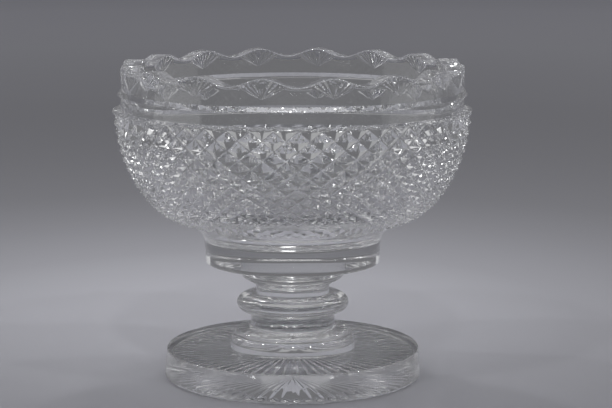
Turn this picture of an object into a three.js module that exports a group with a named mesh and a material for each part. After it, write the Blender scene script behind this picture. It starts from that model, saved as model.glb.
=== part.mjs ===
// A footed bowl of clear lead crystal, blown, joined hot and then cut on the wheel.
// Millimetres, Z up. The origin is the middle of the ring that the foot rests on.
// Six pieces of glass stand on one another: a star-cut foot, a lower merese with the neck, a knop, an
// upper merese, a collar, and the bowl with its diamond-cut belly and its scalloped, fan-cut rim.
// Every seam between two pieces is a flat face, as a gather leaves it when it is pressed on hot.

import * as THREE from "three";

// Foot: a thick disc with a star of mitre cuts underneath, raised clear of the table by a narrow land.
const footThickness = 16;
const footTopRadius = 71.25;
const footBottomRadius = 72.75;
const footTopBevel = 0.75;
const footBottomBevelRise = 2;
const footBottomBevelRun = 1.5;
const landWidth = 3;
const landStepRun = 0.75;
const starRecess = 0.75;
const starRays = 64;
const starDepth = 0.5;
const starDeepestShare = 0.9;

// Lower merese: a ring whose side rises straight, then flares in to a rounded shoulder, and the neck.
// The heights are measured from the top of the foot.
const lowerMereseHeight = 20;
const lowerMereseRadius = 35.25;
const lowerMereseSideHeight = 3.5;
const lowerMereseEdgeRun = 2;
const lowerMereseEdgeHeight = 7.5;
const lowerMereseShoulderRun = 5;
const lowerMereseShoulderHeight = 10.5;
const lowerNeckFootRun = 1.8;
const lowerNeckFootHeight = 11.4;
const lowerNeckHeight = 13.8;
const lowerNeckRadius = 23.7;

// Knop: the swollen ring in the middle of the stem. Its outline is an ellipse, cut off at both necks.
const knopHeight = 11;
const knopRadius = 31.75;
const knopBulge = 8;
const knopRoundHeight = 10.6;
const knopLowerAngle = 1.38;
const knopUpperAngle = 1.53;

// Upper merese: the cup that spreads from the neck to the collar.
const upperMereseHeight = 17.75;
const upperNeckRadius = 20.6;
const upperNeckHeight = 4.25;
const upperMereseRadius = 29.5;
const upperMereseEdgeHeight = 7.5;
const upperMereseEdgeRound = 1;

// Collar: the solid disc that the bowl is set on.
const collarHeight = 13.25;
const collarTopRadius = 49.75;
const collarBottomRadius = 49;
const collarBevel = 1;

// Bowl: belly, cut band, ridge and rim, all turned about the same axis.
const bellyBaseRise = 10.5;
const bellyBaseRadius = 60;
const bellyHeight = 62.75;
const bellyRadius = 100;
const bellyFullness = 1.85;
const coveRise = 5.5;
const coveRun = 1.25;

// Hollow: a smooth wall that follows the belly, is widest below the ledge, and closes in towards the lip.
const bellyWall = 6.5;
const hollowWidestDrop = 14;
const hollowLean = 0.2;
const floorDish = 2.5;

// Scallops of the rim, and the diamonds under each of them.
const scallops = 16;
const diamondsPerScallop = 3;
const diamondRows = 17;
const diamondDepth = 3.5;
const diamondTopMargin = 1;

// Plain band above the diamonds, with the bevelled ridge that ends it.
const bandRadius = 95.6;
const bandFlare = 0.5;
const bandBottomRise = 1.25;
const bandHeight = 7.5;
const ridgeRadius = 97.25;
const ridgeUndercut = 0.5;
const ridgeHeight = 0.4;
const ridgeFall = 2.35;

// Rim: an upright wall whose edge is ground into a wave, with a fan of mitre cuts under each scallop.
const rimRadius = 95.5;
const fanFootRise = 4;
const scallopPeakRise = 10.5;
const scallopDepth = 4.5;
const fanSpread = 0.68;
const fanRays = 9;
const fanDepth = 0.6;
const lipLevelDrop = 3;

// How finely the round forms are divided.
const turnedSides = 48;
const wideSides = 96;
const curveSteps = 3;
const knopSteps = 6;
const starRings = 2;
const coveSteps = 3;
const fanSteps = 2;
const hollowSteps = 6;
const dishSteps = 2;
const meridianSamples = 400;

const fullTurn = 2 * Math.PI;
const crystal = { color: 0xdfe5e8, roughness: 0.05, metalness: 0 };

// Heights of the seams, from the table up.
const footTop = footThickness;
const lowerMereseTop = footTop + lowerMereseHeight;
const knopTop = lowerMereseTop + knopHeight;
const upperMereseTop = knopTop + upperMereseHeight;
const collarTop = upperMereseTop + collarHeight;
const bellyBase = collarTop + bellyBaseRise;
const ledge = bellyBase + bellyHeight;

const mix = (a, b, share) => a + (b - a) * share;

function piece(name, geometry) {
  const mesh = new THREE.Mesh(geometry, new THREE.MeshStandardMaterial(crystal));
  mesh.name = name;
  return mesh;
}

// A solid of revolution from a path of (radius, height) that starts and ends on the axis.
function turned(name, path, sides = turnedSides, steps = curveSteps) {
  const geometry = new THREE.LatheGeometry(path.getPoints(steps), sides);
  geometry.rotateX(Math.PI / 2);
  return piece(name, geometry);
}

// A closed surface made of rings of points round the axis, for the pieces that carry cutting.
// Angles start at the front, where y is lowest, and grow towards +X. Rings are joined in the order
// in which an outline is walked: out along the underside, up the outside, then in over the top.
class Skin {
  constructor() {
    this.positions = [];
    this.faces = [];
    this.known = new Map();
  }

  point(radius, angle, height) {
    const place = [radius * Math.sin(angle), -radius * Math.cos(angle), height];
    const key = place.map((value) => Math.round(value * 1e4)).join();
    if (!this.known.has(key)) {
      this.known.set(key, this.positions.length / 3);
      this.positions.push(...place);
    }
    return this.known.get(key);
  }

  face(a, b, c) {
    if (a !== b && b !== c && c !== a) this.faces.push(a, b, c);
  }

  ring(columns, radiusAt, heightAt) {
    return Array.from({ length: columns }, (_, column) =>
      this.point(radiusAt(column), (fullTurn * column) / columns, heightAt(column)),
    );
  }

  circle(columns, radius, height) {
    return this.ring(columns, () => radius, () => height);
  }

  // Joins two rings, which may have different numbers of points, by always advancing the one that lags.
  bridge(first, second) {
    let i = 0;
    let j = 0;
    while (i < first.length || j < second.length) {
      const a = first[i % first.length];
      const b = second[j % second.length];
      if ((i + 1) / first.length <= (j + 1) / second.length) {
        i += 1;
        this.face(a, first[i % first.length], b);
      } else {
        j += 1;
        this.face(a, second[j % second.length], b);
      }
    }
  }

  bridgeAll(rings) {
    rings.slice(1).forEach((ring, index) => this.bridge(rings[index], ring));
  }

  // A rectangle of points, columns running with the angle and rows with the outline.
  // A cell is split along the diagonal from its first corner where splitAt says so.
  sheet(columns, rows, pointAt, splitAt = () => true) {
    for (let row = 0; row < rows; row += 1) {
      for (let column = 0; column < columns; column += 1) {
        const a = pointAt(column, row);
        const b = pointAt(column + 1, row);
        const c = pointAt(column + 1, row + 1);
        const d = pointAt(column, row + 1);
        if (splitAt(column, row)) {
          this.face(a, b, c);
          this.face(a, c, d);
        } else {
          this.face(a, b, d);
          this.face(b, c, d);
        }
      }
    }
  }

  geometry() {
    const geometry = new THREE.BufferGeometry();
    geometry.setAttribute("position", new THREE.Float32BufferAttribute(this.positions, 3));
    geometry.setIndex(this.faces);
    geometry.computeVertexNormals();
    return geometry;
  }
}

// The foot. Each ray of the star is a V that deepens from the centre outwards and runs out at its end.
function foot() {
  const skin = new Skin();
  const columns = 2 * starRays;
  const landOuter = footBottomRadius - footBottomBevelRun;
  const landInner = landOuter - landWidth;
  const starRadius = landInner - landStepRun;
  const starRing = (share) => {
    const depth = starDepth * (share / starDeepestShare);
    const height = (column) => starRecess + (column % 2 ? 0 : depth);
    return skin.ring(columns, () => starRadius * share, height);
  };
  const rings = Array.from({ length: starRings }, (_, ring) => ((ring + 1) / starRings) * starDeepestShare);
  skin.bridgeAll([
    skin.circle(columns, 0, starRecess),
    ...rings.map(starRing),
    skin.circle(columns, starRadius, starRecess),
    skin.circle(wideSides, landInner, 0),
    skin.circle(wideSides, landOuter, 0),
    skin.circle(wideSides, footBottomRadius, footBottomBevelRise),
    skin.circle(wideSides, footTopRadius, footTop - footTopBevel),
    skin.circle(wideSides, footTopRadius - footTopBevel, footTop),
    skin.circle(wideSides, 0, footTop),
  ]);
  return piece("foot", skin.geometry());
}

function lowerMerese() {
  const edgeRadius = lowerMereseRadius - lowerMereseEdgeRun;
  const edgeTop = footTop + lowerMereseEdgeHeight;
  const shoulderRadius = lowerMereseRadius - lowerMereseShoulderRun;
  const shoulderTop = footTop + lowerMereseShoulderHeight;
  const neckFoot = footTop + lowerNeckFootHeight;
  const path = new THREE.Path();
  path.moveTo(0, footTop);
  path.lineTo(lowerMereseRadius, footTop);
  path.lineTo(lowerMereseRadius, footTop + lowerMereseSideHeight);
  path.lineTo(edgeRadius, edgeTop);
  path.quadraticCurveTo(edgeRadius, shoulderTop, shoulderRadius, shoulderTop);
  path.lineTo(lowerNeckRadius + lowerNeckFootRun, neckFoot);
  path.quadraticCurveTo(lowerNeckRadius, neckFoot, lowerNeckRadius, footTop + lowerNeckHeight);
  path.lineTo(lowerNeckRadius, lowerMereseTop);
  path.lineTo(0, lowerMereseTop);
  return turned("lower_merese", path);
}

function knop() {
  const middle = (lowerMereseTop + knopTop) / 2;
  const path = new THREE.Path();
  path.moveTo(0, lowerMereseTop);
  path.lineTo(lowerNeckRadius, lowerMereseTop);
  path.absellipse(
    knopRadius - knopBulge,
    middle,
    knopBulge,
    knopRoundHeight / 2,
    -knopLowerAngle,
    knopUpperAngle,
  );
  path.lineTo(upperNeckRadius, knopTop);
  path.lineTo(0, knopTop);
  return turned("knop", path, turnedSides, knopSteps);
}

function upperMerese() {
  const edgeBottom = upperMereseTop - upperMereseEdgeHeight;
  const path = new THREE.Path();
  path.moveTo(0, knopTop);
  path.lineTo(upperNeckRadius, knopTop);
  path.lineTo(upperNeckRadius, knopTop + upperNeckHeight);
  path.lineTo(upperMereseRadius - upperMereseEdgeRound, edgeBottom - upperMereseEdgeRound);
  path.quadraticCurveTo(
    upperMereseRadius,
    edgeBottom,
    upperMereseRadius,
    edgeBottom + upperMereseEdgeRound,
  );
  path.lineTo(upperMereseRadius, upperMereseTop);
  path.lineTo(0, upperMereseTop);
  return turned("upper_merese", path);
}

function collar() {
  const path = new THREE.Path();
  path.moveTo(0, upperMereseTop);
  path.lineTo(collarBottomRadius - collarBevel, upperMereseTop);
  path.lineTo(collarBottomRadius, upperMereseTop + collarBevel);
  path.lineTo(collarTopRadius, collarTop);
  path.lineTo(0, collarTop);
  return turned("collar", path, wideSides);
}

// The belly's outline: a quarter of a superellipse from the ledge, angle 0, down to its base,
// angle pi / 2. inset moves the point that far into the glass, square to the outline.
function bellyOutline(angle, inset = 0) {
  const power = 2 / bellyFullness;
  const run = bellyRadius - bellyBaseRadius;
  const across = Math.max(Math.cos(angle), 0) ** power;
  const down = Math.max(Math.sin(angle), 0) ** power;
  const normalAcross = across ** (bellyFullness - 1) / run;
  const normalDown = down ** (bellyFullness - 1) / bellyHeight;
  const length = Math.hypot(normalAcross, normalDown);
  return {
    radius: bellyBaseRadius + run * across - (inset * normalAcross) / length,
    height: ledge - bellyHeight * down + (inset * normalDown) / length,
  };
}

// Angles of the outline at which the rows of diamonds lie. A diamond is as wide as its share of the
// turn, so it shrinks with the radius, and its height shrinks in step: equal steps of length over radius.
function diamondRowAngles() {
  const start = Math.asin((diamondTopMargin / bellyHeight) ** (bellyFullness / 2));
  const angles = [];
  const travelled = [0];
  for (let sample = 0; sample <= meridianSamples; sample += 1) {
    angles.push(mix(start, Math.PI / 2, sample / meridianSamples));
  }
  for (let sample = 1; sample <= meridianSamples; sample += 1) {
    const a = bellyOutline(angles[sample - 1]);
    const b = bellyOutline(angles[sample]);
    const step = Math.hypot(b.radius - a.radius, b.height - a.height);
    travelled.push(travelled[sample - 1] + (2 * step) / (a.radius + b.radius));
  }
  const rows = [];
  for (let row = 0; row <= diamondRows; row += 1) {
    const target = (travelled[meridianSamples] * row) / diamondRows;
    const sample = Math.max(travelled.findIndex((length) => length >= target), 1);
    const share = (target - travelled[sample - 1]) / (travelled[sample] - travelled[sample - 1]);
    rows.push(mix(angles[sample - 1], angles[sample], share));
  }
  return rows;
}

// The belly's cutting: two families of V grooves cross on the diagonals. Their crossings lie at full
// depth, and the points that they leave between them, on the uncut surface, are the tips of the diamonds.
// One wheel cuts them all, so the depth shrinks in step with the diamonds.
function diamondCutting(skin, columns) {
  const rows = diamondRowAngles().reverse();
  const isCrossing = (column, row) => (column + diamondRows - row) % 2 === 0;
  const pointAt = (column, row) => {
    const fullDepth = (diamondDepth / bellyRadius) * bellyOutline(rows[row]).radius;
    const cut = row > 0 && isCrossing(column, row) ? fullDepth : 0;
    const { radius, height } = bellyOutline(rows[row], cut);
    return skin.point(radius, (fullTurn * column) / columns, height);
  };
  skin.sheet(columns, diamondRows, pointAt, isCrossing);
  const edge = (row) => Array.from({ length: columns }, (_, column) => pointAt(column, row));
  return { bottom: edge(0), top: edge(diamondRows) };
}

// The rim's wall and edge. Each scallop is a wave of the edge, from one dip to the next. A fan of V cuts
// spreads from one point of the wall to the middle part of the edge; the glass beside it is plain.
function fanCutting(skin, foot, lipRadius, columns) {
  const halfAngle = fullTurn / scallops / 2;
  const peak = foot + scallopPeakRise;
  const plainColumns = columns / scallops / 2;
  const middle = fanRays + plainColumns;
  // A column's place on the edge: -1 in one dip, 0 in the middle of the scallop, 1 in the next dip.
  const edgeAcross = (column) => {
    const away = Math.abs(column - middle);
    const plain = mix(fanSpread, 1, (away - fanRays) / plainColumns);
    return Math.sign(column - middle) * (away < fanRays ? (fanSpread * away) / fanRays : plain);
  };
  const footAcross = (column) =>
    (Math.sign(column - middle) * Math.max(Math.abs(column - middle) - fanRays, 0)) / plainColumns;
  const isCut = (column) => {
    const fromBorder = fanRays - Math.abs(column - middle);
    return fromBorder >= 0 && fromBorder % 2 === 0;
  };
  const edgeHeight = (across) => peak - (scallopDepth * (1 - Math.cos(Math.PI * across))) / 2;
  const outer = [];
  const inner = [];
  for (let scallop = 0; scallop < scallops; scallop += 1) {
    const angleAt = (across) => halfAngle * (2 * scallop + 1 + across);
    const wallPoint = (column, row) => {
      const share = row / fanSteps;
      return skin.point(
        rimRadius - (isCut(column) ? fanDepth * share : 0),
        angleAt(mix(footAcross(column), edgeAcross(column), share)),
        mix(foot, edgeHeight(edgeAcross(column)), share),
      );
    };
    skin.sheet(2 * middle, fanSteps, wallPoint);
    for (let column = 0; column < 2 * middle; column += 1) {
      const across = edgeAcross(column);
      outer.push(wallPoint(column, fanSteps));
      inner.push(skin.point(lipRadius, angleAt(across), edgeHeight(across)));
    }
  }
  return { outer, inner };
}

// The hollow, from the lip down to the middle of the floor, as points of (radius, height): a wall that
// closes in towards the lip, then the belly's outline one wall further in, then the dished floor.
function hollowOutline(lipLevel) {
  const widestAngle = Math.asin((hollowWidestDrop / bellyHeight) ** (bellyFullness / 2));
  const wall = Array.from({ length: hollowSteps + 1 }, (_, step) =>
    bellyOutline(mix(widestAngle, Math.PI / 2, step / hollowSteps), bellyWall),
  );
  const widest = wall[0];
  const lip = { radius: widest.radius - hollowLean * (lipLevel - widest.height), height: lipLevel };
  const floor = wall[hollowSteps];
  const dish = Array.from({ length: dishSteps }, (_, step) => {
    const share = 1 - (step + 1) / dishSteps;
    return { radius: floor.radius * share, height: floor.height - floorDish * (1 - share * share) };
  });
  return [lip, ...wall, ...dish];
}

function bowl() {
  const skin = new Skin();
  const columns = 2 * diamondsPerScallop * scallops;
  const circle = (radius, height) => skin.circle(columns, radius, height);

  // Underside: the flat seat on the collar, then the cove that swings out to the belly.
  const cove = new THREE.QuadraticBezierCurve(
    new THREE.Vector2(collarTopRadius, collarTop),
    new THREE.Vector2(collarTopRadius + coveRun, collarTop + coveRise),
    new THREE.Vector2(bellyBaseRadius, bellyBase),
  );
  const diamonds = diamondCutting(skin, columns);
  const coveRings = cove.getPoints(coveSteps).slice(0, -1);
  skin.bridgeAll([
    circle(0, collarTop),
    ...coveRings.map(({ x, y }) => circle(x, y)),
    diamonds.bottom,
  ]);

  // Above the diamonds: the ledge, the plain band, and the ridge that the rim stands on.
  const bandBottom = ledge + bandBottomRise;
  const bandTop = bandBottom + bandHeight;
  const ridgeTop = bandTop + ridgeHeight;
  const rimFoot = ridgeTop + ridgeFall;
  const fanFoot = rimFoot + fanFootRise;
  skin.bridgeAll([
    diamonds.top,
    circle(bellyRadius, ledge),
    circle(bandRadius - bandFlare, bandBottom),
    circle(bandRadius + bandFlare, bandTop - ridgeUndercut),
    circle(ridgeRadius, bandTop),
    circle(ridgeRadius, ridgeTop),
    circle(rimRadius, rimFoot),
    circle(rimRadius, fanFoot),
  ]);

  // Over the lip and down the smooth inside to the middle of the floor.
  const hollow = hollowOutline(fanFoot + scallopPeakRise - scallopDepth - lipLevelDrop);
  const rim = fanCutting(skin, fanFoot, hollow[0].radius, columns);
  skin.bridgeAll([
    rim.outer,
    rim.inner,
    ...hollow.map(({ radius, height }) => circle(radius, height)),
  ]);
  return piece("bowl", skin.geometry());
}

const footedBowl = new THREE.Group();
footedBowl.add(foot(), lowerMerese(), knop(), upperMerese(), collar(), bowl());

export default footedBowl;
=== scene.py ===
# %% [markdown]
# # A footed bowl in cut crystal
# The bowl is six pieces of clear lead crystal that were pressed together hot: a star-cut foot, a
# stepped ring with a neck, a swollen knop, a cup, a thick collar, and the bowl itself. A cutter
# then ground diamonds into its belly and fans into its rim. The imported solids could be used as
# they are. Here each piece gets a finer surface from the same sizes instead, because glass shows
# nothing but the shape of its surfaces, and every coarse corner would be seen.

# %% Load the frame
import math

import bpy
import numpy as np
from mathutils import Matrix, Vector


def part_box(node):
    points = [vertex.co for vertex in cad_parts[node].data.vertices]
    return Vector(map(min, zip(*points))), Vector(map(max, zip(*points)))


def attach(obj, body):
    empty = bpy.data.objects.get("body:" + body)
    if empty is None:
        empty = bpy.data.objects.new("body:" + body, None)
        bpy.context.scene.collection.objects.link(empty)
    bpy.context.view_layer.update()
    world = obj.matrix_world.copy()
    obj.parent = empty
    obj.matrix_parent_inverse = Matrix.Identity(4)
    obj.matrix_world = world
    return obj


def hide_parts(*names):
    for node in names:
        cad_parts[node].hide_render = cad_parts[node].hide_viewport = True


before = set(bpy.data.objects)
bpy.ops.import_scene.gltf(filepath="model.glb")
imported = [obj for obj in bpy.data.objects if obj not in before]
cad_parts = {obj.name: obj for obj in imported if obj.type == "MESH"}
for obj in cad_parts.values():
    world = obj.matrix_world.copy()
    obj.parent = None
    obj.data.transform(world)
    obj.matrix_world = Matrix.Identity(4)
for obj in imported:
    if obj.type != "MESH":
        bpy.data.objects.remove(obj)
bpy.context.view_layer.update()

MM = 0.001
print("pieces:", sorted(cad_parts))

# %% [markdown]
# ## The camera
# The photo was taken a little above the bowl with a long lens. A camera can be placed by eye, but
# here the lens and the place were worked out from the ellipses of the rim, the ledge, the collar
# and the foot, and the small turn about the axis from where the scallops stand. The camera comes
# first, so that every later step can be judged in its view.

# %% Camera
CAMERA_DISTANCE = 1.1372
CAMERA_HEIGHT = 0.2844
CAMERA_SIDE = 0.0075
CAMERA_PITCH = math.radians(9.35)
CAMERA_TURN = math.radians(2.1)
LENS_MM = 120.6
SENSOR_MM = 36

camera_data = bpy.data.cameras.new("camera")
camera_data.sensor_width = SENSOR_MM
camera_data.lens = LENS_MM
camera = bpy.data.objects.new("camera", camera_data)
# Its place (side, -distance, height), swung round the axis by the turn.
camera.location = (CAMERA_SIDE * math.cos(CAMERA_TURN) - CAMERA_DISTANCE * math.sin(CAMERA_TURN),
                   -CAMERA_DISTANCE * math.cos(CAMERA_TURN) - CAMERA_SIDE * math.sin(CAMERA_TURN),
                   CAMERA_HEIGHT)
camera.rotation_euler = (math.pi / 2 - CAMERA_PITCH, 0, -CAMERA_TURN)
bpy.context.scene.collection.objects.link(camera)
bpy.context.scene.camera = camera
print("camera pitch in degrees:", round(math.degrees(CAMERA_PITCH), 2))

# %% [markdown]
# ## Sizes
# The sizes are those of the real bowl, in millimetres, and heights are measured from the table.
# They could all be typed in again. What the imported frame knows, such as where one piece ends and
# the next begins, is read from it instead, so that a fine piece always fits the one it stands for.

# %% Sizes read from the frame
def height_range(node):
    """Lowest and highest point of a piece of the frame, in millimetres."""
    low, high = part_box(node)
    return low.z / MM, high.z / MM


def widest_radius(node):
    """Half the width of a round piece of the frame, in millimetres."""
    low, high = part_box(node)
    return (high.x - low.x) / 2 / MM


FOOT_TOP = height_range("foot")[1]
NECK_TOP = height_range("lower_merese")[1]
KNOP_TOP = height_range("knop")[1]
CUP_TOP = height_range("upper_merese")[1]
COLLAR_TOP = height_range("collar")[1]
RIM_PEAK = height_range("bowl")[1]
print("seams at:", [round(z, 2) for z in (FOOT_TOP, NECK_TOP, KNOP_TOP, CUP_TOP, COLLAR_TOP)])

# %% [markdown]
# ## Surfaces as grids
# A turned piece could be spun from a curve with Blender's own tools. Here every surface is a grid
# of points, worked out as whole arrays, because then the turned parts and the cut parts are made
# the same way and meet point for point. The columns run round the axis and the rows run along the
# outline. The order of the outline decides which way the faces point: out along the underside, up
# the outside, and in over the top, so that the faces point out of the glass.

# %% Points round the axis
FULL_TURN = 2 * math.pi
COLUMNS_ROUND = 384
EVEN_COLUMNS = np.linspace(0, FULL_TURN, COLUMNS_ROUND + 1)


def around(radius, angle, height):
    """Points at a radius and a height round the axis. Angle 0 is the front, where y is lowest, and
    angles grow towards +x: x = radius * sin(angle), y = -radius * cos(angle)."""
    radius, angle, height = np.broadcast_arrays(radius, angle, height)
    return np.stack([radius * np.sin(angle), -radius * np.cos(angle), height], axis=-1)


print("columns round the axis:", COLUMNS_ROUND)

# %% [markdown]
# Glass bends light by its shading normals, and smooth shading spreads every corner of an outline
# over the whole face next to it, which turns a long straight wall into a lens. Sharp edges would
# stop that, but a soft corner has none. So a row of points is added close to both ends of each
# long run, and the shading of the corner stays in that narrow strip.

# %% Turned outlines
HOLD_MARGIN = 0.15
LONGEST_STEP = 2.5


def hold(profile):
    """The outline with a point added HOLD_MARGIN inside both ends of every run that is longer than
    LONGEST_STEP: point = end + (other end - end) * margin / length."""
    start, end = profile[:-1], profile[1:]
    length = np.hypot(*(end - start).T)[:, None]
    inward = (end - start) * HOLD_MARGIN / np.maximum(length, HOLD_MARGIN)
    rows = np.stack([start, start + inward, end - inward], 1).reshape(-1, 2)
    long_run = length[:, 0] > LONGEST_STEP
    kept = np.stack([np.ones_like(long_run), long_run, long_run], 1).ravel()
    return np.concatenate([rows[kept], profile[-1:]])


def turn(profile, angles=EVEN_COLUMNS):
    """The grid of an outline turned round the axis. Each row of the outline is (radius, height),
    and each angle makes one column."""
    profile = hold(np.asarray(profile, float))
    return around(profile[:, :1], angles[None, :], profile[:, 1:])


print("rows of a straight wall:", turn([(10, 0), (10, 20)]).shape[0])

# %% Outlines from lines, arcs and bends
def line(*points):
    """A few corner points, as rows of an outline."""
    return np.asarray(points, float)


def arc(centre, radii, start_degrees, end_degrees, steps):
    """Points of part of an ellipse: centre plus radii times (cos, sin) of evenly spaced angles."""
    angle = np.radians(np.linspace(start_degrees, end_degrees, steps))
    return np.stack(
        [centre[0] + radii[0] * np.cos(angle), centre[1] + radii[1] * np.sin(angle)], -1
    )


def bend(start, control, end, steps):
    """Points of a quadratic curve: (1-t)^2 start + 2t(1-t) control + t^2 end."""
    t = np.linspace(0, 1, steps)[:, None]
    start, control, end = (np.asarray(point, float) for point in (start, control, end))
    return (1 - t) ** 2 * start + 2 * t * (1 - t) * control + t**2 * end


print("the middle of a bend:", bend((0, 0), (1, 0), (1, 1), 3)[1].tolist())

# %% [markdown]
# ## From grids to closed pieces
# Real glass is a closed solid, so each piece has to be a closed mesh, or light would not know when
# it is inside. A piece is made of several grids. They are cut into triangles, piled up, and welded
# where their edges meet, which also closes the poles, where a whole row is one point. Blender can
# merge such points by distance. Rounding them in numpy is faster for this many points, and it
# gives the same mesh every time.

# %% Triangles and welding
WELD_STEPS_PER_MM = 1e4


def triangles_of(grid):
    """Corner points of the two triangles in each cell of a grid, as an array of shape (n, 3, 3)."""
    a, b = grid[:-1, :-1], grid[:-1, 1:]
    d, c = grid[1:, :-1], grid[1:, 1:]
    return np.stack([np.stack([a, b, c], -2), np.stack([a, c, d], -2)], -3).reshape(-1, 3, 3)


def weld(triangles):
    """Vertices and faces of a pile of loose triangles, and which triangles were kept. Corners that
    round to the same ten-thousandth of a millimetre become one vertex, and triangles that collapse
    to a line are dropped."""
    steps = np.round(triangles.reshape(-1, 3) * WELD_STEPS_PER_MM).astype(np.int64)
    keys, inverse = np.unique(steps, axis=0, return_inverse=True)
    faces = inverse.reshape(-1, 3)
    kept = (
        (faces[:, 0] != faces[:, 1]) & (faces[:, 1] != faces[:, 2]) & (faces[:, 2] != faces[:, 0])
    )
    return keys / WELD_STEPS_PER_MM, faces[kept], kept


print("triangles in one cell:", len(triangles_of(np.zeros((2, 2, 3)))))

# %% Meshes
CREASE_DEGREES = 24


def open_edges(faces):
    """How many edges don't have exactly two faces. A closed piece has none."""
    edges = np.sort(faces[:, [0, 1, 1, 2, 2, 0]].reshape(-1, 2), axis=1)
    return int((np.unique(edges, axis=0, return_counts=True)[1] != 2).sum())


def make_piece(name, parts, materials):
    """A mesh object from a list of (triangles, material index). Edges sharper than CREASE_DEGREES
    stay crisp, as a cut leaves them, and the rest are shaded smooth."""
    triangles = np.concatenate([part for part, _ in parts])
    index = np.concatenate([np.full(len(part), number) for part, number in parts])
    vertices, faces, kept = weld(triangles)
    mesh = bpy.data.meshes.new(name)
    mesh.vertices.add(len(vertices))
    mesh.vertices.foreach_set("co", (vertices * MM).astype(np.float32).ravel())
    mesh.loops.add(faces.size)
    mesh.loops.foreach_set("vertex_index", faces.astype(np.int32).ravel())
    mesh.polygons.add(len(faces))
    mesh.polygons.foreach_set("loop_start", np.arange(0, faces.size, 3, dtype=np.int32))
    mesh.polygons.foreach_set("material_index", index[kept].astype(np.int32))
    mesh.update(calc_edges=True)
    mesh.shade_smooth()
    mesh.set_sharp_from_angle(angle=math.radians(CREASE_DEGREES))
    for material in materials:
        mesh.materials.append(material)
    piece = bpy.data.objects.new(name, mesh)
    bpy.context.scene.collection.objects.link(piece)
    print(f"{name}: {len(faces)} triangles, open edges: {open_edges(faces)}")
    return piece


print("edges stay crisp above", CREASE_DEGREES, "degrees")

# %% [markdown]
# ## Crystal
# Lead crystal is clear and colourless, and it bends light more than window glass does: its index
# is about 1.55. It could be built from separate reflecting and bending shaders, but one Principled
# shader with full transmission does the same. A faint unevenness in the polish and in the surface
# comes from noise on the piece's own coordinates. The surface is wavier on the turned pieces,
# which were only polished by the fire, than on the cut ones, which were ground.

# %% Clear crystal
CRYSTAL_INDEX = 1.545
CRYSTAL_TINT = (0.985, 0.99, 0.992, 1)
POLISH_PATCHES_PER_M = 60
POLISH_PATCH_DETAIL = 2
POLISH_NOISE_RANGE = (0.35, 0.75)
WAVE_DETAIL = 1


def new_material(name):
    """A material made of nodes, with its nodes and its links."""
    material = bpy.data.materials.new(name)
    material.use_nodes = True
    return material, material.node_tree.nodes, material.node_tree.links


def crystal_material(name, wave_height, wave_size, roughness):
    """Clear glass. Its surface waves by wave_height over wave_size, both in metres. Its roughness
    is 0 where the noise is at the low end of POLISH_NOISE_RANGE and the given one at the high
    end, so it changes in soft patches."""
    material, nodes, links = new_material(name)
    shader = nodes["Principled BSDF"]
    shader.inputs["Base Color"].default_value = CRYSTAL_TINT
    shader.inputs["Transmission Weight"].default_value = 1
    shader.inputs["IOR"].default_value = CRYSTAL_INDEX
    place = nodes.new("ShaderNodeTexCoord")
    patches = nodes.new("ShaderNodeTexNoise")
    patches.inputs["Scale"].default_value = POLISH_PATCHES_PER_M
    patches.inputs["Detail"].default_value = POLISH_PATCH_DETAIL
    polish = nodes.new("ShaderNodeMapRange")
    polish.inputs["From Min"].default_value = POLISH_NOISE_RANGE[0]
    polish.inputs["From Max"].default_value = POLISH_NOISE_RANGE[1]
    polish.inputs["To Min"].default_value = 0
    polish.inputs["To Max"].default_value = roughness
    links.new(place.outputs["Object"], patches.inputs["Vector"])
    links.new(patches.outputs["Fac"], polish.inputs["Value"])
    links.new(polish.outputs["Result"], shader.inputs["Roughness"])
    waves = nodes.new("ShaderNodeTexNoise")
    waves.inputs["Scale"].default_value = 1 / wave_size
    waves.inputs["Detail"].default_value = WAVE_DETAIL
    bump = nodes.new("ShaderNodeBump")
    bump.inputs["Strength"].default_value = 1
    bump.inputs["Distance"].default_value = wave_height
    links.new(place.outputs["Object"], waves.inputs["Vector"])
    links.new(waves.outputs["Fac"], bump.inputs["Height"])
    links.new(bump.outputs["Normal"], shader.inputs["Normal"])
    return material


cut_crystal = crystal_material(
    "cut_crystal", wave_height=0.000012, wave_size=0.012, roughness=0.008
)
turned_crystal = crystal_material(
    "turned_crystal", wave_height=0.00005, wave_size=0.02, roughness=0.012
)
print("crystal index:", CRYSTAL_INDEX)

# %% [markdown]
# Where two pieces are fused there is no surface inside the glass at all. The pieces could be
# joined into one mesh, but they are parts of their own, each a closed mesh. So the two faces that
# meet in a seam get a material that lets every ray straight through.

# %% Fused seams
def seam_material():
    """The hidden faces of a fused seam: light goes straight on through them."""
    material, nodes, links = new_material("fused_seam")
    nodes.remove(nodes["Principled BSDF"])
    through = nodes.new("ShaderNodeBsdfTransparent")
    links.new(through.outputs["BSDF"], nodes["Material Output"].inputs["Surface"])
    return material


fused_seam = seam_material()
GLASS, SEAM = 0, 1
print("materials:", [m.name for m in (cut_crystal, turned_crystal, fused_seam)])

# %% [markdown]
# ## The foot
# A thick disc, cut underneath with a star of 64 mitre rays. Each ray is a V ground by the edge of
# a wheel: it deepens from the centre outwards and runs out just short of the flat ring that the
# bowl stands on. The rays show through the top and the side of the foot as a fine sheaf of lines.
# A bump on a flat underside would look right from one side only, so they are real cuts.

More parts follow.
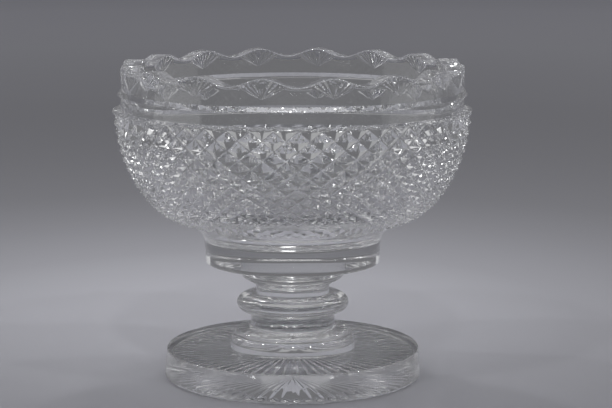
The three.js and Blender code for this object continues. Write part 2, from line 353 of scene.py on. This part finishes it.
# %% Sizes of the foot
FOOT_BOTTOM_RADIUS = widest_radius("foot")
FOOT_SIDE_FLARE = 1.5
FOOT_TOP_RADIUS = FOOT_BOTTOM_RADIUS - FOOT_SIDE_FLARE
FOOT_EDGE_ROUND = 0.75
FOOT_BEVEL_RUN = 1.5
FOOT_BEVEL_RISE = 2
LAND_WIDTH = 3
LAND_SLOPE = 0.75
LAND_OUTER = FOOT_BOTTOM_RADIUS - FOOT_BEVEL_RUN
LAND_INNER = LAND_OUTER - LAND_WIDTH
LOWER_RING_RADIUS = widest_radius("lower_merese")
print("it stands on a ring from", round(LAND_INNER, 2), "to", round(LAND_OUTER, 2), "mm radius")

# %% Star under the foot
STAR_RADIUS = LAND_INNER - LAND_SLOPE
STAR_RECESS = 0.75
STAR_RAYS = 64
STAR_DEPTH = 0.5
STAR_DEEPEST_SHARE = 0.9
STAR_RUN_OUT = 0.1
STAR_ROWS = 40


def star_grid():
    """The underside: height = recess + depth * (1 - from_middle), where from_middle is the distance
    from the middle line of the ray as a share of half its width. The depth grows with the radius
    up to STAR_DEEPEST_SHARE of it, and then runs out like a square root."""
    share = np.linspace(0, 1, STAR_ROWS + 1)[:, None]
    angle = EVEN_COLUMNS[None, :]
    ray = angle / FULL_TURN * STAR_RAYS
    from_middle = 2 * np.abs(ray - np.round(ray))
    run_out = np.clip((1 - share) / STAR_RUN_OUT, 0, 1)
    depth = STAR_DEPTH * share / STAR_DEEPEST_SHARE * np.sqrt(run_out)
    height = STAR_RECESS + depth * (1 - from_middle)
    return around(STAR_RADIUS * share, angle, height)


print("the star is cut up to", round(star_grid()[..., 2].max() - STAR_RECESS, 2), "mm deep")

# %% Foot
def build_foot():
    """Star, standing ring, bevel, side and rounded top edge, closed by the seam under the ring."""
    outside = np.concatenate([
        line((STAR_RADIUS, STAR_RECESS), (LAND_INNER, 0), (LAND_OUTER, 0)),
        arc((LAND_OUTER, FOOT_BEVEL_RISE), (FOOT_BEVEL_RUN, FOOT_BEVEL_RISE),
            start_degrees=-90, end_degrees=-4, steps=8)[1:],
        line((FOOT_TOP_RADIUS, FOOT_TOP - FOOT_EDGE_ROUND)),
        arc((FOOT_TOP_RADIUS - FOOT_EDGE_ROUND, FOOT_TOP - FOOT_EDGE_ROUND),
            (FOOT_EDGE_ROUND, FOOT_EDGE_ROUND), start_degrees=15, end_degrees=90, steps=5),
        line((LOWER_RING_RADIUS, FOOT_TOP)),
    ])
    hidden = line((LOWER_RING_RADIUS, FOOT_TOP), (0, FOOT_TOP))
    parts = [
        (triangles_of(star_grid()), GLASS),
        (triangles_of(turn(outside)), GLASS),
        (triangles_of(turn(hidden)), SEAM),
    ]
    return make_piece("crystal_foot", parts, [cut_crystal, fused_seam])


crystal_foot = build_foot()

# %% [markdown]
# ## The stem
# Three pieces and the collar were shaped from hot glass while it turned, so each is smooth and
# round. Each could have a function of its own. They differ in their outline only, so one function
# closes them all: it takes the outline from the lower seam to the upper one and adds the two flat
# seams. The corners of a bend are given as a turner would measure them, inwards and upwards from a
# known radius and height.

# %% Turned pieces
def bend_in(radius, height, corners, steps):
    """A bend whose start, control and end are (run in from the radius, rise above the height)."""
    return bend(*((radius - run, height + rise) for run, rise in corners), steps)


def turned_piece(name, outside):
    """A closed piece: its outline turned round the axis, and a flat seam from the axis to each
    end of it."""
    (low_radius, low), (high_radius, high) = outside[0], outside[-1]
    parts = [
        (triangles_of(turn(line((0, low), (low_radius, low)))), SEAM),
        (triangles_of(turn(outside)), GLASS),
        (triangles_of(turn(line((high_radius, high), (0, high)))), SEAM),
    ]
    return make_piece(name, parts, [turned_crystal, fused_seam])


print("turned pieces have", COLUMNS_ROUND, "sides")

# %% [markdown]
# The lower ring steps in twice over a rounded shoulder, and a short neck rises out of it. A bevel
# modifier would round all its corners alike. Each one is round in its own way, so each is a bend.

# %% Lower ring and neck
RING_SIDE_HEIGHT = 3.5
RING_EDGE = ((0.05, 3.8), (0.7, 6), (2, 7.4))
RING_SHOULDER = ((2.05, 7.7), (2.3, 10.2), (5, 10.5))
NECK_RADIUS = 23.7
NECK_FLARE = ((-1.8, 11.4), (-0.1, 11.6), (0, 13.8))

crystal_lower_ring = turned_piece("crystal_lower_ring", np.concatenate([
    line((LOWER_RING_RADIUS, FOOT_TOP), (LOWER_RING_RADIUS, FOOT_TOP + RING_SIDE_HEIGHT)),
    bend_in(LOWER_RING_RADIUS, FOOT_TOP, RING_EDGE, steps=8),
    bend_in(LOWER_RING_RADIUS, FOOT_TOP, RING_SHOULDER, steps=10),
    bend_in(NECK_RADIUS, FOOT_TOP, NECK_FLARE, steps=12),
    line((NECK_RADIUS, NECK_TOP)),
]))

# %% [markdown]
# The knop is a swollen ring between the two necks. A ring from Blender's menu would come close,
# but its ends would have to be cut off. Here the outline is nearly half an ellipse, and it stops a
# few degrees short of upright, so that the crease where it meets a neck stays crisp.

# %% Knop
KNOP_RADIUS = widest_radius("knop")
KNOP_MIDDLE = (NECK_TOP + KNOP_TOP) / 2
KNOP_BULGE = 8
KNOP_ROUND_HEIGHT = 10.6
UPPER_NECK_RADIUS = 20.6

crystal_knop = turned_piece("crystal_knop", np.concatenate([
    line((NECK_RADIUS, NECK_TOP)),
    arc((KNOP_RADIUS - KNOP_BULGE, KNOP_MIDDLE), (KNOP_BULGE, KNOP_ROUND_HEIGHT / 2),
        start_degrees=-84, end_degrees=88, steps=48),
    line((UPPER_NECK_RADIUS, KNOP_TOP)),
]))

# %% [markdown]
# The cup rises from the upper neck, flares out, and turns up to a short upright edge under the
# collar. A cone with rounded ends would be simpler, but the flare is hollow and the edge is full,
# so each is a bend, as on the ring.

# %% Cup
CUP_RADIUS = widest_radius("upper_merese")
CUP_FLARE = ((0, 3.2), (-0.2, 5.3), (-2.8, 6.5))
CUP_EDGE = ((3.3, 8), (0.1, 9.4), (0, 12.5))

crystal_cup = turned_piece("crystal_cup", np.concatenate([
    line((UPPER_NECK_RADIUS, KNOP_TOP)),
    bend_in(UPPER_NECK_RADIUS, KNOP_TOP, CUP_FLARE, steps=10),
    bend_in(CUP_RADIUS, KNOP_TOP, CUP_EDGE, steps=10),
    line((CUP_RADIUS, CUP_TOP)),
]))

# %% [markdown]
# The collar is the thick disc that carries the bowl. Its flat underside shows round the cup. A
# plain cylinder would do, but for its lower edge: that has a small rounded bevel, which catches a
# line of light.

# %% Collar
COLLAR_RADIUS = widest_radius("collar")
COLLAR_BOTTOM_RADIUS = 49
COLLAR_BEVEL = 1

crystal_collar = turned_piece("crystal_collar", np.concatenate([
    line((CUP_RADIUS, CUP_TOP)),
    arc((COLLAR_BOTTOM_RADIUS - COLLAR_BEVEL, CUP_TOP + COLLAR_BEVEL),
        (COLLAR_BEVEL, COLLAR_BEVEL), start_degrees=-90, end_degrees=0, steps=6),
    line((COLLAR_RADIUS, COLLAR_TOP)),
]))

# %% [markdown]
# ## The belly and its diamonds
# The outline of the belly is a quarter of a superellipse: one number makes it fuller or leaner
# than a plain ellipse. Two families of V grooves cross it on the diagonals, and what they leave
# standing is a field of four-sided diamonds. A displacement texture would blur their edges, so
# each facet is worked out.

# %% Outline of the belly
BELLY_RADIUS = widest_radius("bowl")
BELLY_BASE_RADIUS = 60
COVE_HEIGHT = 10.5
BELLY_BASE = COLLAR_TOP + COVE_HEIGHT
BELLY_HEIGHT = 62.75
LEDGE = BELLY_BASE + BELLY_HEIGHT
BELLY_FULLNESS = 1.85
OUTLINE_SAMPLES = 4000


def belly_outline(angle, inset=0.0):
    """Radius and height of the belly. Angle 0 is the ledge and a quarter turn is the base. The
    curve is a superellipse: across = cos(angle)^(2/fullness), down = sin(angle)^(2/fullness).
    inset moves the point into the glass, square to the outline, which is along
    (across^(fullness-1) / run, down^(fullness-1) / height)."""
    power = 2 / BELLY_FULLNESS
    run = BELLY_RADIUS - BELLY_BASE_RADIUS
    across = np.clip(np.cos(angle), 0, 1) ** power
    down = np.clip(np.sin(angle), 0, 1) ** power
    normal_across = across ** (BELLY_FULLNESS - 1) / run
    normal_down = down ** (BELLY_FULLNESS - 1) / BELLY_HEIGHT
    length = np.hypot(normal_across, normal_down)
    radius = BELLY_BASE_RADIUS + run * across - inset * normal_across / length
    height = LEDGE - BELLY_HEIGHT * down + inset * normal_down / length
    return radius, height


print("the ledge is", round(LEDGE, 2), "mm above the table")

# %% Rows of diamonds
SCALLOPS = 16
DIAMONDS_ROUND = 3 * SCALLOPS
DIAMOND_ROWS = 17
DIAMOND_TOP_MARGIN = 1


def row_angle(row):
    """Outline angle of a row, counted from the base up. A diamond is as wide as its share of the
    turn, so equal steps of length over radius keep its shape the same as it shrinks."""
    top = math.asin((DIAMOND_TOP_MARGIN / BELLY_HEIGHT) ** (BELLY_FULLNESS / 2))
    angle = np.linspace(top, math.pi / 2, OUTLINE_SAMPLES)
    radius, height = belly_outline(angle)
    step = np.hypot(np.diff(radius), np.diff(height)) / ((radius[1:] + radius[:-1]) / 2)
    travelled = np.concatenate([[0], np.cumsum(step)])
    return np.interp(1 - row / DIAMOND_ROWS, travelled / travelled[-1], angle)


print("widest diamond:", round(FULL_TURN * BELLY_RADIUS / DIAMONDS_ROUND, 1), "mm")

# %% [markdown]
# Half diamonds make the counting simple. In coordinates where column s and row t count them, one
# family of grooves lies where (s + t) / 2 is whole and the other where (s - t) / 2 is whole. So
# every cell of that grid has a groove on one diagonal, and the tips of two diamonds in its other
# corners.

# %% Depth of the cut
HALVES_ROUND = 2 * DIAMONDS_ROUND
DIAMOND_DEPTH = 3.5
GROOVE_FLAT = 0.06
UNIT_STEPS = np.array([0, GROOVE_FLAT, 0.5, 1 - GROOVE_FLAT, 1])
CUT_S = np.append((np.arange(HALVES_ROUND)[:, None] + UNIT_STEPS[:-1]).ravel(), HALVES_ROUND)
CUT_COLUMNS = CUT_S * FULL_TURN / HALVES_ROUND


def cut_surface(s, t, from_groove):
    """Points of the cut belly at column s and row t. One wheel angle cuts the whole belly, so
    depth = full depth * radius / widest radius * (1 - from_groove), and it stays even over the
    narrow flat that the wheel's edge leaves along the bottom. In the lowest row the cut runs
    out: the depth is also multiplied by t there."""
    uncut_radius, _ = belly_outline(row_angle(t))
    depth = DIAMOND_DEPTH * uncut_radius / BELLY_RADIUS * (1 - np.maximum(from_groove, GROOVE_FLAT))
    radius, height = belly_outline(row_angle(t), depth * np.clip(t, 0, 1))
    return around(radius, FULL_TURN * s / HALVES_ROUND, height)


def way_to_tip(groove, tip):
    """Points at each of UNIT_STEPS on the way from a corner on the groove to the tip of the
    diamond. The wheel grinds flat, so past the groove's edge a point is
    edge + (tip - edge) * share of the way."""
    edge = groove * (1 - GROOVE_FLAT) + tip * GROOVE_FLAT
    groove, edge, tip = (
        cut_surface(place[..., 0], place[..., 1], np.full(place.shape[:-1], from_groove))
        for place, from_groove in ((groove, 0), (edge, GROOVE_FLAT), (tip, 1))
    )
    share = (UNIT_STEPS[1:] - GROOVE_FLAT) / (1 - GROOVE_FLAT)
    return np.stack([groove] + [edge + (tip - edge) * way for way in share])


print("columns of the cut belly:", len(CUT_COLUMNS) - 1)

# %% Facets
def facet_triangles(start, end, tip):
    """Triangles of every facet: one side runs along a groove from start to end, the far corner is
    the tip of the diamond, and the facet between them is flat."""
    points = np.stack([way_to_tip(start, tip), way_to_tip(end, tip)], 2)
    return np.concatenate([triangles_of(points[:, number]) for number in range(len(start))])


def diamond_field():
    """All the facets. Each cell of the (s, t) grid holds one groove from corner to corner and a
    facet on either side of it; neighbouring cells have their grooves the other way round."""
    cells = np.meshgrid(np.arange(HALVES_ROUND), np.arange(DIAMOND_ROWS))
    column, row = (values.ravel() for values in cells)
    corner = np.stack([column, row], -1)
    climbs = ((column + DIAMOND_ROWS - row) % 2 == 0)[:, None]
    start = corner + np.where(climbs, (0, 0), (0, 1))
    end = corner + np.where(climbs, (1, 1), (1, 0))
    upper_tip = corner + np.where(climbs, (0, 1), (1, 1))
    lower_tip = corner + np.where(climbs, (1, 0), (0, 0))
    return np.concatenate([
        facet_triangles(start, end, upper_tip), facet_triangles(end, start, lower_tip)
    ])


diamonds = diamond_field()
print("diamond field:", len(diamonds), "triangles")

# %% Border of the field
def border_ring(row):
    """The border of the field along a row, as a ring of points: at the top it is the zigzag where
    the cutting runs out under the ledge. A groove meets it at every second column."""
    left = np.arange(HALVES_ROUND)
    groove_left = (left + DIAMOND_ROWS - row) % 2 == 0
    groove = np.stack([np.where(groove_left, left, left + 1), np.full_like(left, row)], -1)
    tip = np.stack([np.where(groove_left, left + 1, left), np.full_like(left, row)], -1)
    climb = way_to_tip(groove, tip)
    steps = np.where(groove_left[None, :, None], climb, climb[::-1])[:-1]
    ring = steps.swapaxes(0, 1).reshape(-1, 3)
    return np.concatenate([ring, ring[:1]])


top_border_radius = np.hypot(*border_ring(DIAMOND_ROWS)[:, :2].T)
print("the top zigzag goes", round(np.ptp(top_border_radius), 2), "mm deep")

# %% [markdown]
# ## The rim
# Above the diamonds come a ledge, a plain band and a bevelled ridge. The rim wall stands on the
# ridge, and its edge is ground into 16 scallops. Under each scallop a fan of V cuts spreads from
# one point to the edge. Cutting the fans out of a wall with a boolean would leave ragged faces, so
# the wall is drawn round them: the fan is a grid whose first row has shrunk to that point, and the
# plain glass between two fans is a grid whose last row has shrunk to the dip between two scallops.

# %% Sizes of the rim
LEDGE_RISE = 1.25
BAND_HEIGHT = 7.5
RIDGE_EDGE = 0.4
RIDGE_SLOPE = 2.35
WALL_BELOW_FANS = 4
BAND_BOTTOM = LEDGE + LEDGE_RISE
BAND_TOP = BAND_BOTTOM + BAND_HEIGHT
RIDGE_TOP = BAND_TOP + RIDGE_EDGE
RIM_FOOT = RIDGE_TOP + RIDGE_SLOPE
FAN_FOOT = RIM_FOOT + WALL_BELOW_FANS
BAND_RADIUS = 95.6
BAND_FLARE = 0.05
RIDGE_RADIUS = 97.25
RIDGE_UNDERCUT = 0.5
RIM_RADIUS = 95.5
print("the rim wall is", round(RIM_PEAK - RIM_FOOT, 2), "mm tall at a scallop")

# %% Scallops and rays
SCALLOP_DEPTH = 4.5
HALF_SCALLOP = FULL_TURN / SCALLOPS / 2
FAN_RAYS = 9
FAN_SPREAD = 0.68
RAY_STEPS = 4
ROUNDING = 1e-9


def edge_height(across):
    """Height of the scalloped edge, a smooth wave:
    height = peak - depth * (1 - cos(pi * across)) / 2,
    where across runs from -1 in one dip, over 0 in the middle of a scallop, to 1 in the next."""
    return RIM_PEAK - SCALLOP_DEPTH * (1 - np.cos(math.pi * across)) / 2


def fan_across():
    """Where the columns of a fan meet the edge, from one end of its spread to the other."""
    return FAN_SPREAD * np.linspace(-1, 1, 2 * FAN_RAYS * RAY_STEPS + 1)


def ray_cut(across):
    """Share of the full depth that a ray has cut: 1 on its middle line and 0 halfway to the next,
    falling evenly between them. Outside the fan it is 0."""
    ray = (across / FAN_SPREAD + 1) * FAN_RAYS
    cut = 1 - np.abs(np.mod(ray + 1, 2) - 1)
    return np.where(np.abs(across) <= FAN_SPREAD + ROUNDING, cut, 0)


print("rays round the rim:", SCALLOPS * FAN_RAYS)

# %% Fans
FAN_DEPTH = 0.6
FAN_ROWS = 5
LIP_ROUND = 0.8
SIDE_UNITS = 3
SIDE_SHARES = np.append(
    (np.arange(SIDE_UNITS)[:, None] + UNIT_STEPS[:-1]).ravel() / SIDE_UNITS, 1
)


def fan_grids(centre):
    """Three grids under one scallop: the fan, and the plain glass left and right of it. All climb
    from the fan's foot to the lip: height = foot + (lip - foot) * share of the way, and the cut is
    as deep as the share of the way that is climbed."""
    share = np.linspace(0, 1, FAN_ROWS + 1)[:, None]
    across = fan_across()[None, :]
    height = FAN_FOOT + (edge_height(across) - LIP_ROUND - FAN_FOOT) * share
    fan = around(RIM_RADIUS - FAN_DEPTH * share * ray_cut(across),
                 centre + across * share * HALF_SCALLOP, height)
    outwards = SIDE_SHARES[None, :]
    edge_across = FAN_SPREAD + (1 - FAN_SPREAD) * outwards
    offset = HALF_SCALLOP * (FAN_SPREAD * share * (1 - outwards) + outwards)
    side_height = FAN_FOOT + (edge_height(edge_across) - LIP_ROUND - FAN_FOOT) * share
    radius = RIM_RADIUS - np.where(outwards == 0, FAN_DEPTH * share * ray_cut(FAN_SPREAD), 0)
    right = around(radius, centre + offset, side_height)
    left = around(radius, centre - offset, side_height)[:, ::-1]
    return fan, left, right


print("triangles under one scallop:", sum(len(triangles_of(grid)) for grid in fan_grids(0)))

# %% [markdown]
# ## The hollow
# The inside is smooth. Below the ledge it follows the belly at an even thickness of wall, above it
# leans inwards, and its floor is dished a little. A solidify modifier would carry every diamond
# through to the inside, so the hollow has an outline of its own.

# %% Hollow
BELLY_WALL = 6.5
INNER_WIDEST_DROP = 14
INNER_LEAN = 0.2
INNER_WALL_DROP = 3
INNER_WALL_TOP = RIM_PEAK - SCALLOP_DEPTH - INNER_WALL_DROP
FLOOR_DISH = 2.5
HOLLOW_STEPS = 44
DISH_STEPS = 26


def inner_start():
    """Angle of the belly's outline at which the hollow is widest, INNER_WIDEST_DROP below the
    ledge, and the point of the hollow there."""
    angle = np.linspace(0, math.pi / 2, OUTLINE_SAMPLES)
    _, height = belly_outline(angle, BELLY_WALL)
    start = angle[np.argmax(height < LEDGE - INNER_WIDEST_DROP)]
    return start, belly_outline(start, BELLY_WALL)


INNER_START, (INNER_WIDEST, INNER_WIDEST_HEIGHT) = inner_start()


def inner_radius(height):
    """Radius of the leaning wall: widest radius - lean * height above the widest place."""
    return INNER_WIDEST - INNER_LEAN * (height - INNER_WIDEST_HEIGHT)


def hollow_outline():
    """The inside, from under the lip to the axis: the leaning wall, the belly's curve inset by the
    wall, and a floor dished by height = edge - dish * (1 - share of the radius, squared)."""
    angle = np.linspace(INNER_START, math.pi / 2, HOLLOW_STEPS)
    curve = np.stack(belly_outline(angle, BELLY_WALL), -1)
    floor_radius, floor_height = curve[-1]
    share = np.linspace(1, 0, DISH_STEPS)[1:]
    dish = np.stack([floor_radius * share, floor_height - FLOOR_DISH * (1 - share**2)], -1)
    return np.concatenate([line((inner_radius(INNER_WALL_TOP), INNER_WALL_TOP)), curve, dish])


print("the hollow is", round(INNER_WIDEST, 1), "mm in radius where it is widest")

# %% [markdown]
# ## The lip
# The edge of the rim is ground round. The fans need four times as many columns as the smooth
# inside. The whole bowl could have that many, but then it would be needlessly heavy. So the lip
# has all of them, and one ring of triangles leads from four columns to one.

# %% Lip
LIP_STEPS = 6


def edge_columns():
    """Angle and across of every column of the edge, round the whole rim."""
    side = FAN_SPREAD + (1 - FAN_SPREAD) * SIDE_SHARES[1:]
    across = np.concatenate([-side[::-1], fan_across(), side[:-1]])
    centres = (2 * np.arange(SCALLOPS) + 1)[:, None] * HALF_SCALLOP
    angle = (centres + HALF_SCALLOP * across).ravel()
    return np.append(angle, angle[0] + FULL_TURN), np.append(np.tile(across, SCALLOPS), across[0])


EDGE_ANGLES, EDGE_ACROSS = edge_columns()


def lip_grid():
    """The rounded lip, from the fans' upper edge over to the inner wall. Each row is a step of a
    half round whose height follows the scallops: radius = middle + round * cos(turned),
    height = edge - round + round * sin(turned). A ray leaves a nick in the outer half only."""
    outer_turn = np.linspace(0, math.pi / 2, LIP_STEPS)[:, None]
    inner_turn = np.linspace(math.pi / 2, math.pi, LIP_STEPS)[:, None]
    nick = FAN_DEPTH * ray_cut(EDGE_ACROSS)[None, :]
    outer = RIM_RADIUS - LIP_ROUND - nick + LIP_ROUND * np.cos(outer_turn)
    inner_wall = inner_radius(edge_height(EDGE_ACROSS) - LIP_ROUND)
    inner = inner_wall[None, :] + LIP_ROUND + LIP_ROUND * np.cos(inner_turn)
    turned = np.concatenate([outer_turn, inner_turn])
    height = edge_height(EDGE_ACROSS)[None, :] - LIP_ROUND + LIP_ROUND * np.sin(turned)
    return around(np.concatenate([outer, inner]), EDGE_ANGLES[None, :], height)


print("edge columns:", len(EDGE_ANGLES) - 1, "for", COLUMNS_ROUND, "columns below")

# %% Four columns to one
COARSE_STEP = 4


def bridge_fourfold(fine, coarse):
    """Triangles between a ring and one with a quarter of its points. Both go round the same way,
    and the fine one comes first in the outline's order."""
    count = len(coarse) - 1
    f = np.stack([fine[k:len(fine) - 1 + k:COARSE_STEP][:count] for k in range(COARSE_STEP + 1)])
    low, high = coarse[:-1], coarse[1:]
    corners = ((f[0], f[1], low), (f[1], f[2], low), (f[2], high, low), (f[2], f[3], high),
               (f[3], f[4], high))
    return np.concatenate([np.stack(corner, -2) for corner in corners])


print("columns inside:", len(EDGE_ANGLES[::COARSE_STEP]) - 1)

# %% [markdown]
# ## The bowl, closed
# The grids are joined in the order of the outline: the hidden seat on the collar, the cove that
# swings out to the belly, the diamonds, the ledge, the band and the ridge, the fans, the lip, and
# the hollow. They could be separate meshes laid edge to edge, but light would leak between them.

# %% Outlines below and above the diamonds
COVE_CONTROL_RUN = 1.25
COVE_CONTROL_RISE = 5.5

seat = line((0, COLLAR_TOP), (COLLAR_RADIUS, COLLAR_TOP))
cove = bend(
    (COLLAR_RADIUS, COLLAR_TOP),
    (COLLAR_RADIUS + COVE_CONTROL_RUN, COLLAR_TOP + COVE_CONTROL_RISE),
    (BELLY_BASE_RADIUS, BELLY_BASE),
    steps=16,
)
above_diamonds = line(
    (BELLY_RADIUS, LEDGE),
    (BAND_RADIUS - BAND_FLARE, BAND_BOTTOM),
    (BAND_RADIUS + BAND_FLARE, BAND_TOP - RIDGE_UNDERCUT),
    (RIDGE_RADIUS, BAND_TOP),
    (RIDGE_RADIUS, RIDGE_TOP),
    (RIM_RADIUS, RIM_FOOT),
    (RIM_RADIUS, FAN_FOOT),
)
print("rows of the cove:", len(cove))

# %% Bowl
def build_bowl():
    """All the grids, welded. The rings next to the diamonds follow the field's border exactly."""
    cove_grid = turn(cove, CUT_COLUMNS)
    cove_grid[-1] = border_ring(0)
    above_grid = turn(above_diamonds, CUT_COLUMNS)
    ledge_grid = np.stack([border_ring(DIAMOND_ROWS), above_grid[0]])
    lip = lip_grid()
    hollow = turn(hollow_outline(), EDGE_ANGLES[::COARSE_STEP])
    parts = [
        (triangles_of(turn(seat, CUT_COLUMNS)), SEAM),
        (triangles_of(cove_grid), GLASS),
        (diamonds, GLASS),
        (triangles_of(ledge_grid), GLASS),
        (triangles_of(above_grid), GLASS),
        (triangles_of(lip), GLASS),
        (bridge_fourfold(lip[-1], hollow[0]), GLASS),
        (triangles_of(hollow), GLASS),
    ]
    for scallop in range(SCALLOPS):
        for grid in fan_grids((2 * scallop + 1) * HALF_SCALLOP):
            parts.append((triangles_of(grid), GLASS))
    return make_piece("crystal_bowl", parts, [cut_crystal, fused_seam])


crystal_bowl = build_bowl()

# %% [markdown]
# ## Setting the pieces in the frame
# Each fine piece stands for one piece of the frame and rides on the only body, the root. The
# frame's own pieces are not thrown away but hidden: they carry the sizes, and the fine ones
# are only what is seen. The frame's own pieces are not thrown away: they carry the sizes and the
# collision, and the fine ones are only what is seen.

# %% Ride and replace
for piece, node, slot in (
    (crystal_foot, "foot", "cut_crystal"),
    (crystal_lower_ring, "lower_merese", "polished_crystal"),
    (crystal_knop, "knop", "polished_crystal"),
    (crystal_cup, "upper_merese", "polished_crystal"),
    (crystal_collar, "collar", "polished_crystal"),
    (crystal_bowl, "bowl", "cut_crystal"),
):
    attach(piece, "root")
    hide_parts(node)
    print(piece.name, "stands for", node)

# %% [markdown]
# ## The table
# Clear glass has no look of its own: it shows the table, the backdrop and the lamps. The photo has
# a pale grey table that sweeps up into a darker grey as the light falls off. It could be a curved
# sheet, but that would be seen from the front only. One wide disc with a grey that follows the
# distance from the bowl gives the same picture, and holds from every side. That grey is painted
# light and shade: a painted pool of light round the bowl, painted shade behind it where the light
# falls off, and paint that turns pale again far out.

# %% Table
TABLE_RADIUS = 8.0
TABLE_GAP_MM = 0.1
TABLE_RINGS = 8
TABLE_SIDES = 96
TABLE_ROUGHNESS = 0.8
TABLE_SHEEN = 0.2
TABLE_FADE = 4.0
# The middle of the painted pool of light on the table.
LIGHT_POOL_CENTRE = (-0.03, 0.16, 0)
TABLE_BLUE = 1.09
# Painted light and shade, a grey for each distance in metres: a painted pool of light round the
# bowl, painted shade behind it where the light falls off, and pale again far out.
PAINTED_LIGHT_GREYS = ((0.0, 0.43), (0.1, 0.41), (0.16, 0.375), (0.22, 0.322), (0.35, 0.235), (0.5, 0.178),
               (0.8, 0.152), (1.3, 0.165), (2.0, 0.33), (2.8, 0.6), (4.0, 0.82))


def painted_light_table_material():
    """Matt grey along a smooth ramp through the listed greys, by distance / fade from the centre.
    The greys are painted light and shade: a painted pool of light round the bowl, painted shade
    behind it, and pale again far out, where it only lights the glass."""
    material, nodes, links = new_material("table_painted_light")
    shader = nodes["Principled BSDF"]
    shader.inputs["Roughness"].default_value = TABLE_ROUGHNESS
    shader.inputs["Specular IOR Level"].default_value = TABLE_SHEEN
    place = nodes.new("ShaderNodeTexCoord")
    distance = nodes.new("ShaderNodeVectorMath")
    distance.operation = "DISTANCE"
    distance.inputs[1].default_value = LIGHT_POOL_CENTRE
    ramp = nodes.new("ShaderNodeValToRGB")
    scale = nodes.new("ShaderNodeMath")
    scale.operation = "DIVIDE"
    scale.inputs[1].default_value = TABLE_FADE
    links.new(place.outputs["Object"], distance.inputs[0])
    links.new(distance.outputs["Value"], scale.inputs[0])
    links.new(scale.outputs["Value"], ramp.inputs["Fac"])
    links.new(ramp.outputs["Color"], shader.inputs["Base Color"])
    # A new ramp has two stops of its own and may never be empty: one goes before, one after.
    ramp.color_ramp.interpolation = "B_SPLINE"
    ramp.color_ramp.elements.remove(ramp.color_ramp.elements[1])
    for position, grey in PAINTED_LIGHT_GREYS:
        stop = ramp.color_ramp.elements.new(position / TABLE_FADE)
        stop.color = (grey, grey, grey * TABLE_BLUE, 1)
    ramp.color_ramp.elements.remove(ramp.color_ramp.elements[0])
    return material


def build_table():
    """A flat disc of rings, a hair's breadth under the foot: radius = full radius * share^2."""
    radius = TABLE_RADIUS / MM * np.linspace(0, 1, TABLE_RINGS + 1)[:, None] ** 2
    angle = np.linspace(0, FULL_TURN, TABLE_SIDES + 1)[None, :]
    grid = around(radius, angle, -TABLE_GAP_MM)[::-1]
    return make_piece("table", [(triangles_of(grid), GLASS)], [painted_light_table_material()])


table = build_table()

# %% [markdown]
# ## Light
# The studio light is soft and plain, with a few small sources that sparkle in the facets. One big
# lamp would light the bowl well enough, but glass shows a lamp itself, as large and as bright as
# it is. So there are many: nine small weak ones for the sparkles, two at the back and one overhead
# for the lines on the stem and the collar, a long one that the bevel of the ridge mirrors, and
# large dim ones that fill in.

# %% World
WORLD_GREY = (0.15, 0.15, 0.157, 1)

scene = bpy.context.scene
world = bpy.data.worlds.new("studio")
world.use_nodes = True
scene.world = world
world.node_tree.nodes["Background"].inputs["Color"].default_value = WORLD_GREY
world.node_tree.nodes["Background"].inputs["Strength"].default_value = 1
print("world grey:", WORLD_GREY[:3])

# %% Lamps
LAMP_TARGET = (0, 0, 0.1)


def lamp(name, location, width, depth, power):
    """A soft rectangular lamp that faces the bowl's middle. Its sizes are in metres and its power
    is in watts."""
    data = bpy.data.lights.new(name, "AREA")
    data.shape = "RECTANGLE"
    data.size = width
    data.size_y = depth
    data.energy = power
    lamp_object = bpy.data.objects.new(name, data)
    lamp_object.location = location
    towards = np.array(LAMP_TARGET) - np.array(location)
    lamp_object.rotation_euler = Vector(towards).to_track_quat("-Z", "Y").to_euler()
    scene.collection.objects.link(lamp_object)


SMALL_LAMPS = 9
SMALL_LAMP_RADIUS = 1.4
SMALL_LAMP_HEIGHT = 1.7
SMALL_LAMP_SIZE = 0.08
SMALL_LAMP_POWER = 3.4
for number in range(SMALL_LAMPS):
    turn_angle = FULL_TURN * (number + 0.5) / SMALL_LAMPS
    location = (SMALL_LAMP_RADIUS * math.sin(turn_angle), SMALL_LAMP_RADIUS * math.cos(turn_angle),
                SMALL_LAMP_HEIGHT)
    lamp(f"small_{number}", location, SMALL_LAMP_SIZE, SMALL_LAMP_SIZE, SMALL_LAMP_POWER)

for name, location, width, depth, power in (
    ("left_side", (-1.6, 0.1, 0.8), 1.3, 1.3, 3.6),
    ("right_side", (1.6, 0.1, 0.8), 1.3, 1.3, 3.0),
    ("back_left", (-0.75, 1.4, 1.3), 0.1, 0.1, 1.6),
    ("back_right", (0.85, 1.35, 1.35), 0.1, 0.1, 1.5),
    ("back_soft", (0, 2.2, 1.9), 2.0, 2.0, 3),
    ("front_soft", (0, -2.0, 1.2), 1.5, 1.5, 1),
    ("overhead", (0.1, 0.55, 1.9), 0.25, 0.25, 2.2),
    ("ridge_line", (0, -0.8, 1.95), 1.7, 0.2, 3.6),
):
    lamp(name, location, width, depth, power)

# %% [markdown]
# ## Light paths
# A ray that enters the bowl crosses many faces before it leaves: two walls, front and back, and
# every seam. Short paths are quicker to render, but a ray that is cut off inside the glass turns
# black there, so the paths are allowed to be long.

# %% Light paths
LONGEST_PATH = 32
LONGEST_MIRROR_PATH = 24

scene.view_settings.view_transform = "Standard"
scene.cycles.max_bounces = LONGEST_PATH
scene.cycles.transmission_bounces = LONGEST_PATH
scene.cycles.glossy_bounces = LONGEST_MIRROR_PATH
scene.cycles.transparent_max_bounces = 2 * LONGEST_PATH
print("longest path:", scene.cycles.max_bounces, "bounces")

# %% [markdown]
# ## The end

# %% End
print("done")
